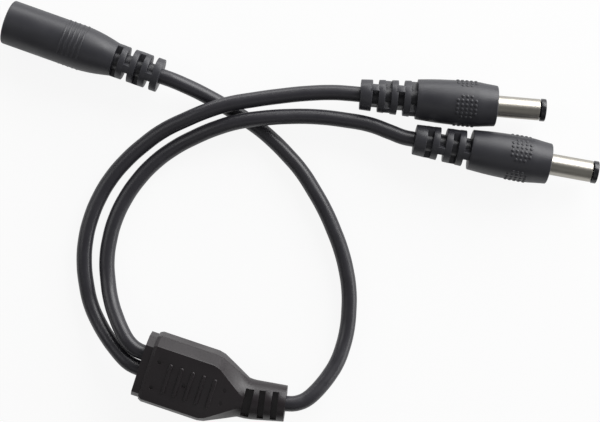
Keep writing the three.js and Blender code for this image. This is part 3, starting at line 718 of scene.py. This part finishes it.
def makeDots(settings, middle):
    # low domes in rows, a patch at each quarter turn, with the corner ones left off
    sides, rows, columns = settings["dotSides"], settings["dotRows"], settings["dotColumns"]
    dots = []
    for side in range(sides):
        for row in range(rows):
            for column in range(columns):
                if row in (0, rows - 1) and column in (0, columns - 1):
                    continue
                turn = side * 2 * math.pi / sides
                angle = turn + (row - (rows - 1) / 2) * settings["dotRowAngle"]
                x = middle + (column - (columns - 1) / 2) * settings["dotPitch"]
                clearSelection()
                bpy.ops.mesh.primitive_uv_sphere_add(
                    segments=10, ring_count=6, radius=1, location=(x, 0, settings["gripRadius"]),
                )
                radius, height = settings["dotRadius"], settings["dotHeight"]
                bpy.context.object.scale = (radius, radius, height)
                dot = startPiece("dot")
                turnAboutX(dot, -angle)
                dots.append(dot)
    return dots


def makePlugPieces(settings):
    parts, reliefLength = makeRelief("plug", settings, reliefSettings)
    front = reliefLength + settings["bodyLength"]
    gap = settings["seatGap"]
    swell = [(reliefLength + x, r) for x, r in settings["swell"]]
    barrelSeat = settings["barrelRadius"] + gap
    nose = roundedFront(front, settings["swell"][-1][1], settings["frontEdge"])
    body = turnPiece("plug_body", smoothStations(swell) + nose + [
        (front, barrelSeat),
        (front - settings["seatDepth"], barrelSeat),
    ], settings["sides"])
    roundEdges(body, settings["rearEdge"])
    dots = makeDots(settings, reliefLength + settings["gripMiddle"])
    overmould = joinPieces("plug_moulding", [body] + parts + dots)

    rear = front - settings["barrelEmbed"]
    tube = front + settings["barrelReach"]
    outer = settings["barrelRadius"]
    bore = outer - settings["barrelWall"]
    flangeRadius, flangeThickness = settings["flange"]
    barrel = turnPiece("plug_sleeve", [
        (rear, bore),
        (rear, flangeRadius),
        (rear + flangeThickness, flangeRadius),
        (rear + flangeThickness, outer),
        (tube, outer),
        (tube, bore),
        (rear, bore),
    ], closed=True)
    roundEdges(barrel, settings["barrelEdge"])
    tagLength, tagWidth, tagThickness = settings["tag"]
    tagLow = (rear - tagLength, -tagWidth / 2, -outer)
    tagHigh = (rear + flangeThickness / 2, tagWidth / 2, -outer + tagThickness)
    tag = boxPiece("plug_tag", tagLow, tagHigh, settings["tagEdge"])
    barrel = joinPieces("plug_sleeve", [barrel, tag])

    ringLength, ringRadius = settings["tipRing"]
    tip = tube + gap + ringLength
    inner = bore - gap
    wall = settings["tipWall"]
    pocket = inner - settings["insulatorWall"]
    hole = settings["contactTail"] + gap
    insulator = turnPiece("plug_tip", [
        (rear - gap, hole),
        (rear - gap, inner),
        (tube + gap, inner),
        (tube + gap, ringRadius),
        (tip, ringRadius),
        (tip, settings["tipHole"]),
        (tip - wall, settings["tipHole"]),
        (tip - wall, pocket),
        (rear - gap + wall, pocket),
        (rear - gap + wall, hole),
        (rear - gap, hole),
    ], closed=True)
    roundEdges(insulator, settings["tipEdge"], segments=4)
    return overmould, barrel, insulator


plugPieces = makePlugPieces(plugSettings)
for plug in ("plug_a", "plug_b"):
    overmould, barrel, insulator = [copyPiece(p, p.name.replace("plug", plug)) for p in plugPieces]
    finishPiece(overmould, places[plug], materials["mould"], "mould", plug + "_overmould")
    finishPiece(barrel, places[plug], nickel[plug], "nickel", plug + "_barrel")
    finishPiece(insulator, places[plug], materials["housing"], "housing", plug + "_insulator")
for pattern in plugPieces:
    bpy.data.objects.remove(pattern)
print("plugs made")


# junction block

junctionSettings = {
    "length": 19,
    "halfWidth": 9.15,
    "halfHeight": 5.75,
    "flatHalfWidth": 7.3,
    "bandHalfHeight": 2.2,
    "collar": 2,
    "collarInset": 0.9,
    "collarStep": 0.05,
    "taper": 8.6,
    "taperSteps": 12,
    "taperRounding": 4,  # power of the share along the taper, so that its facets last
    "taperEndRadius": 5.25,
    "endFlatHalfWidth": 1.3125,
    "endBandHalfHeight": 1.05,
    "reliefEndRadius": 4.65,
    "reliefLength": 10.9,
    "reliefSteps": 8,
    "bendLength": 3,
    "bendAngle": math.radians(12),
    "slots": [(0.2, 2.15), (4.1, 1.6), (7.45, 1.55)],  # start past the taper, width
    "slotHalfSpan": 3.7,
    "slotReach": 9,
    "slabHalfHeight": 2.4,
    "bars": 5,
    "barPitch": 2.95,
    "barLength": 8.1,
    "barWidth": 1.1,
    "barHeight": 0.45,
    "barEdge": 0.38,
    "barStart": 7.7,
    "markRadius": 0.5,
    "markDepth": 0.4,
    "markPlaces": [(4.6, -3.5), (4.6, 3.5), (12.3, -0.4), (22.5, -1.85), (22.5, 1.85)],
    "edge": 0.25,
}


def alongRelief(distance, settings):
    # centre and heading of a section, at a distance past the taper's end
    bend = min(max(distance, 0), settings["bendLength"])
    radius = settings["bendLength"] / settings["bendAngle"]
    angle = bend / radius
    straight = distance - bend
    end = settings["length"] + settings["taper"]
    x = end + radius * math.sin(angle) + straight * math.cos(angle)
    y = radius * (1 - math.cos(angle)) + straight * math.sin(angle)
    return x, y, angle


def blockOutline(halfWidth, halfHeight, flatHalfWidth, bandHalfHeight, roundness, steps=(4, 12)):
    # eight straight sides, drawn out to an ellipse as roundness goes from 0 to 1
    corners = [
        (halfWidth, -bandHalfHeight), (halfWidth, bandHalfHeight),
        (flatHalfWidth, halfHeight), (-flatHalfWidth, halfHeight),
        (-halfWidth, bandHalfHeight), (-halfWidth, -bandHalfHeight),
        (-flatHalfWidth, -halfHeight), (flatHalfWidth, -halfHeight),
    ]
    outline = []
    for i, (y0, z0) in enumerate(corners):
        y1, z1 = corners[(i + 1) % 8]
        count = steps[i % 2]
        for step in range(count):
            y = y0 + (y1 - y0) * step / count
            z = z0 + (z1 - z0) * step / count
            scale = 1 + (1 / math.hypot(y / halfWidth, z / halfHeight) - 1) * roundness
            outline.append((y * scale, z * scale))
    return outline


def lofted(name, sections, settings):
    # one circle for each section, shaped to its outline, then all bridged and capped
    rings = []
    for distance, outline in sections:
        x, y, angle = alongRelief(distance, settings)
        clearSelection()
        bpy.ops.mesh.primitive_circle_add(vertices=len(outline), radius=1, location=(0, 0, 0))
        ring = bpy.context.object
        for vertex, (side, up) in zip(ring.data.vertices, outline):
            vertex.co = (x - side * math.sin(angle), y + side * math.cos(angle), up)
        rings.append(ring)
    piece = joinPieces(name, rings)
    makeActive(piece)
    bpy.ops.object.mode_set(mode="EDIT")
    bpy.ops.mesh.select_all(action="SELECT")
    bpy.ops.mesh.bridge_edge_loops()
    bpy.ops.mesh.select_all(action="SELECT")
    bpy.ops.mesh.fill_holes(sides=0)
    bpy.ops.mesh.select_all(action="SELECT")
    bpy.ops.mesh.normals_make_consistent(inside=False)
    bpy.ops.object.mode_set(mode="OBJECT")
    return piece


def makeBlock(settings):
    inset, collar, length = settings["collarInset"], settings["collar"], settings["length"]
    full = [settings[key] for key in ("halfWidth", "halfHeight", "flatHalfWidth", "bandHalfHeight")]
    end = settings["taperEndRadius"]
    endFlats = (settings["endFlatHalfWidth"], settings["endBandHalfHeight"])
    blockEnd = length + settings["taper"]

    def stepped(amount):
        return blockOutline(full[0] - amount, full[1] - amount, full[2] - amount, full[3], 0)

    def tapered(share):
        sizes = [a + (b - a) * share for a, b in zip(full, (end, end, *endFlats))]
        return blockOutline(*sizes, share ** settings["taperRounding"])

    sections = [
        (-blockEnd, stepped(inset)),
        (collar - blockEnd, stepped(inset)),
        (collar + settings["collarStep"] - blockEnd, stepped(inset / 2)),
        (collar + inset - blockEnd, stepped(0)),
        (length - inset - blockEnd, stepped(0)),
    ]
    for step in range(1, settings["taperSteps"] + 1):
        share = step / settings["taperSteps"]
        sections.append((length + share * settings["taper"] - blockEnd, tapered(share)))
    for step in range(1, settings["reliefSteps"] + 1):
        share = step / settings["reliefSteps"]
        radius = end + (settings["reliefEndRadius"] - end) * share
        outline = blockOutline(radius, radius, *endFlats, 1)
        sections.append((settings["reliefLength"] * share, outline))
    return lofted("junction_moulding", sections, settings)


def makeSlots(settings):
    # slots across the upper and lower side, which leave a flat slab and a rail on each side
    span, slab, reach = settings["slotHalfSpan"], settings["slabHalfHeight"], settings["slotReach"]
    slots = []
    for start, width in settings["slots"]:
        x, y, angle = alongRelief(start + width / 2, settings)
        for low, high in ((slab, reach), (-reach, -slab)):
            slot = boxPiece("slot", (-width / 2, -span, low), (width / 2, span, high))
            makeActive(slot)
            slot.rotation_euler = (0, 0, angle)
            slot.location = (x, y, 0)
            bpy.ops.object.transform_apply(location=True, rotation=True, scale=True)
            slots.append(slot)
    return slots


def makeMarks(settings):
    # pits that the mould's locating pins leave in both flats
    marks = []
    for x, y in settings["markPlaces"]:
        for side in (-1, 1):
            clearSelection()
            bpy.ops.mesh.primitive_cylinder_add(
                vertices=20, radius=settings["markRadius"], depth=2 * settings["markDepth"],
                location=(x, y, side * settings["halfHeight"]),
            )
            marks.append(startPiece("mark"))
    return marks


def makeBar(settings, x, side):
    # a round post, pulled apart along Y into a bar with round ends
    clearSelection()
    radius = settings["barWidth"] / 2
    height = side * settings["halfHeight"]
    bpy.ops.mesh.primitive_cylinder_add(
        vertices=28, radius=radius, depth=2 * settings["barHeight"], location=(x, 0, height),
    )
    bar = startPiece("bar")
    pull = settings["barLength"] / 2 - radius
    for vertex in bar.data.vertices:
        vertex.co.y += pull if vertex.co.y > 0 else -pull
    roundEdges(bar, settings["barEdge"], angle=60, segments=5)
    return bar


def makeJunction(settings, place):
    block = makeBlock(settings)
    cutters = makeSlots(settings) + makeMarks(settings)
    cutPiece(block, joinPieces("cutters", cutters))
    roundEdges(block, settings["edge"], angle=24)
    bars = [
        makeBar(settings, settings["barStart"] + i * settings["barPitch"], side)
        for i in range(settings["bars"]) for side in (-1, 1)
    ]
    moulding = joinPieces("junction_moulding", [block] + bars)
    # the block wears the mouldings' PVC darkened with painted shade
    mould = materials["junction_mould"]
    finishPiece(moulding, place, mould, "junction_mould", "junction_overmould")


makeJunction(junctionSettings, places["junction"])
print("junction made")


# finishes of the pieces that keep the part's own shape

def finishNode(nodeName, material):
    node = frame["nodes"][nodeName]
    node.data.materials.clear()
    node.data.materials.append(material)


finishNode("jack_sleeve_spring", nickel["jack"])
finishNode("junction_inner_mould", materials["inner_mould"])
for pole in ("red", "black"):
    finishNode("junction_" + pole + "_splice", brass["junction"])
    for start in ("jack", "plug_a", "plug_b"):
        finishNode(start + "_" + pole + "_core", materials[pole + "_core"])
    for start in ("trunk", "branch_a", "branch_b"):
        finishNode("junction_" + start + "_" + pole + "_core", materials[pole + "_core"])
for plug in ("plug_a", "plug_b"):
    finishNode(plug + "_contact", brass[plug])
print("inner pieces finished")


# surface and light

floorSettings = {
    "size": 4.0,
    "drop": 0.0001,
    "colour": "#f4f4f4",
    "roughness": 0.9,
    "cameraShare": 0.9,  # how much of the white backdrop the camera sees over the floor's own shade
    "mirrorShare": 0.6,  # the same in reflections
}
lightSettings = [
    # name, place, size, watts: a softbox beyond the plugs, two low walls of light beyond and
    # at the right, and two weak fills, above the near edge and at the left
    ("key", (0.42, 0.52, 0.42), (0.6, 0.4), 4.8),
    ("far_wall", (0.1, 0.65, 0.12), (1.2, 0.24), 3.4),
    ("right_wall", (0.65, 0.1, 0.16), (0.8, 0.24), 2.4),
    ("front", (-0.1, -0.5, 0.7), (0.8, 0.4), 0.3),
    ("side", (-0.6, 0.2, 0.45), (0.3, 0.5), 0.8),
]
worldSettings = {"colour": "#ffffff", "strength": 0.16}


def makeFloor(settings):
    clearSelection()
    bpy.ops.mesh.primitive_plane_add(size=settings["size"], location=(0, 0, -settings["drop"]))
    floor = bpy.context.object
    floor.name = "floor"
    bpy.ops.object.transform_apply(location=True, rotation=True, scale=True)
    material, tree, shader = startMaterial("white_board", {
        "Base Color": linearColour(settings["colour"]), "Roughness": settings["roughness"],
    })
    output = next(node for node in tree.nodes if node.type == "OUTPUT_MATERIAL")
    rays = addNode(tree, "ShaderNodeLightPath").outputs

    def times(source, factor):
        values = {"operation": "MULTIPLY", 1: factor}
        return addNode(tree, "ShaderNodeMath", values, {0: source}).outputs[0]

    def larger(first, second):
        values = {"operation": "MAXIMUM"}
        return addNode(tree, "ShaderNodeMath", values, {0: first, 1: second}).outputs[0]

    mirrored = larger(rays["Is Glossy Ray"], rays["Is Transmission Ray"])
    share = larger(
        times(rays["Is Camera Ray"], settings["cameraShare"]),
        times(mirrored, settings["mirrorShare"]),
    )
    white = addNode(tree, "ShaderNodeEmission", {"Color": (1, 1, 1, 1), "Strength": 1.0})
    mixed = addNode(
        tree, "ShaderNodeMixShader",
        links={0: share, 1: shader.outputs["BSDF"], 2: white.outputs["Emission"]},
    )
    tree.links.new(mixed.outputs["Shader"], output.inputs["Surface"])
    floor.data.materials.append(material)


def makeLights(settings):
    for name, at, size, watts in settings:
        bpy.ops.object.light_add(type="AREA", location=at)
        lamp = bpy.context.object
        lamp.name = name + "_softbox"
        lamp.data.shape = "RECTANGLE"
        lamp.data.size, lamp.data.size_y = size
        lamp.data.energy = watts
        x, y, z = at
        lamp.rotation_euler = (math.atan2(math.hypot(x, y), z), 0, math.atan2(x, -y))


def makeWorld(settings):
    world = bpy.data.worlds.new("studio")
    world.use_nodes = True
    back = world.node_tree.nodes["Background"]
    back.inputs["Color"].default_value = linearColour(settings["colour"])
    back.inputs["Strength"].default_value = settings["strength"]
    bpy.context.scene.world = world


makeFloor(floorSettings)
makeLights(lightSettings)
makeWorld(worldSettings)
bpy.context.scene.view_settings.view_transform = "Standard"
print("surface and light set")
